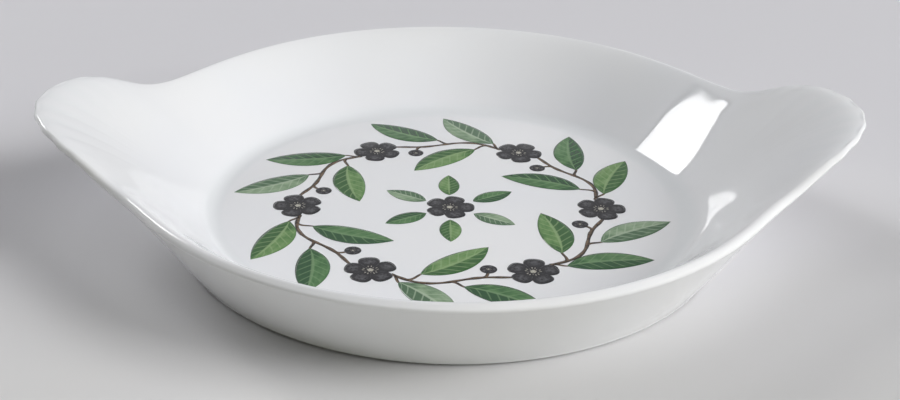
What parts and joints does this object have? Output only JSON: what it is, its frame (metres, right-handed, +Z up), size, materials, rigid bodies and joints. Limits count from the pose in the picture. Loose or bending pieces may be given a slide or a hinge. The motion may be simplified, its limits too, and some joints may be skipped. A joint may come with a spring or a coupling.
{
  "type": "shirred egg dish",
  "caption": "Round shallow porcelain baking dish with two scallop-shell ears, a low foot ring and a leaf and blossom garland printed on its floor.",
  "frame": {"origin": "centre of the foot ring, on the table", "axes": "+X from ear to ear, +Y across the bowl, +Z up"},
  "size_m": [0.2076, 0.1658, 0.0334],
  "materials": {
    "porcelain": "clear gloss glaze on white porcelain",
    "leaf_ink": "fired transfer print, glossy green",
    "blossom_ink": "fired transfer print, glossy near-black",
    "stem_ink": "fired transfer print, glossy dark brown"
  },
  "bodies": {
    "root": {"blossom_1": "blossom_ink", "blossom_2": "blossom_ink", "blossom_3": "blossom_ink", "blossom_4": "blossom_ink", "blossom_5": "blossom_ink", "blossom_6": "blossom_ink", "bud_1": "blossom_ink", "bud_2": "blossom_ink", "bud_3": "blossom_ink", "bud_4": "blossom_ink", "bud_5": "blossom_ink", "bud_6": "blossom_ink", "centre_blossom": "blossom_ink", "centre_leaf_1": "leaf_ink", "centre_leaf_2": "leaf_ink", "centre_leaf_3": "leaf_ink", "centre_leaf_4": "leaf_ink", "centre_leaf_5": "leaf_ink", "centre_leaf_6": "leaf_ink", "inner_leaf_1": "leaf_ink", "inner_leaf_2": "leaf_ink", "inner_leaf_3": "leaf_ink", "inner_leaf_4": "leaf_ink", "inner_leaf_5": "leaf_ink", "inner_leaf_6": "leaf_ink", "outer_leaf_1_a": "leaf_ink", "outer_leaf_1_b": "leaf_ink", "outer_leaf_2_a": "leaf_ink", "outer_leaf_2_b": "leaf_ink", "outer_leaf_3_a": "leaf_ink", "outer_leaf_3_b": "leaf_ink", "outer_leaf_4_a": "leaf_ink", "outer_leaf_4_b": "leaf_ink", "outer_leaf_5_a": "leaf_ink", "outer_leaf_5_b": "leaf_ink", "outer_leaf_6_a": "leaf_ink", "outer_leaf_6_b": "leaf_ink", "porcelain_dish": "porcelain", "stem_1": "stem_ink", "stem_2": "stem_ink", "stem_3": "stem_ink", "stem_4": "stem_ink", "stem_5": "stem_ink", "stem_6": "stem_ink"}
  },
  "joints": []
}
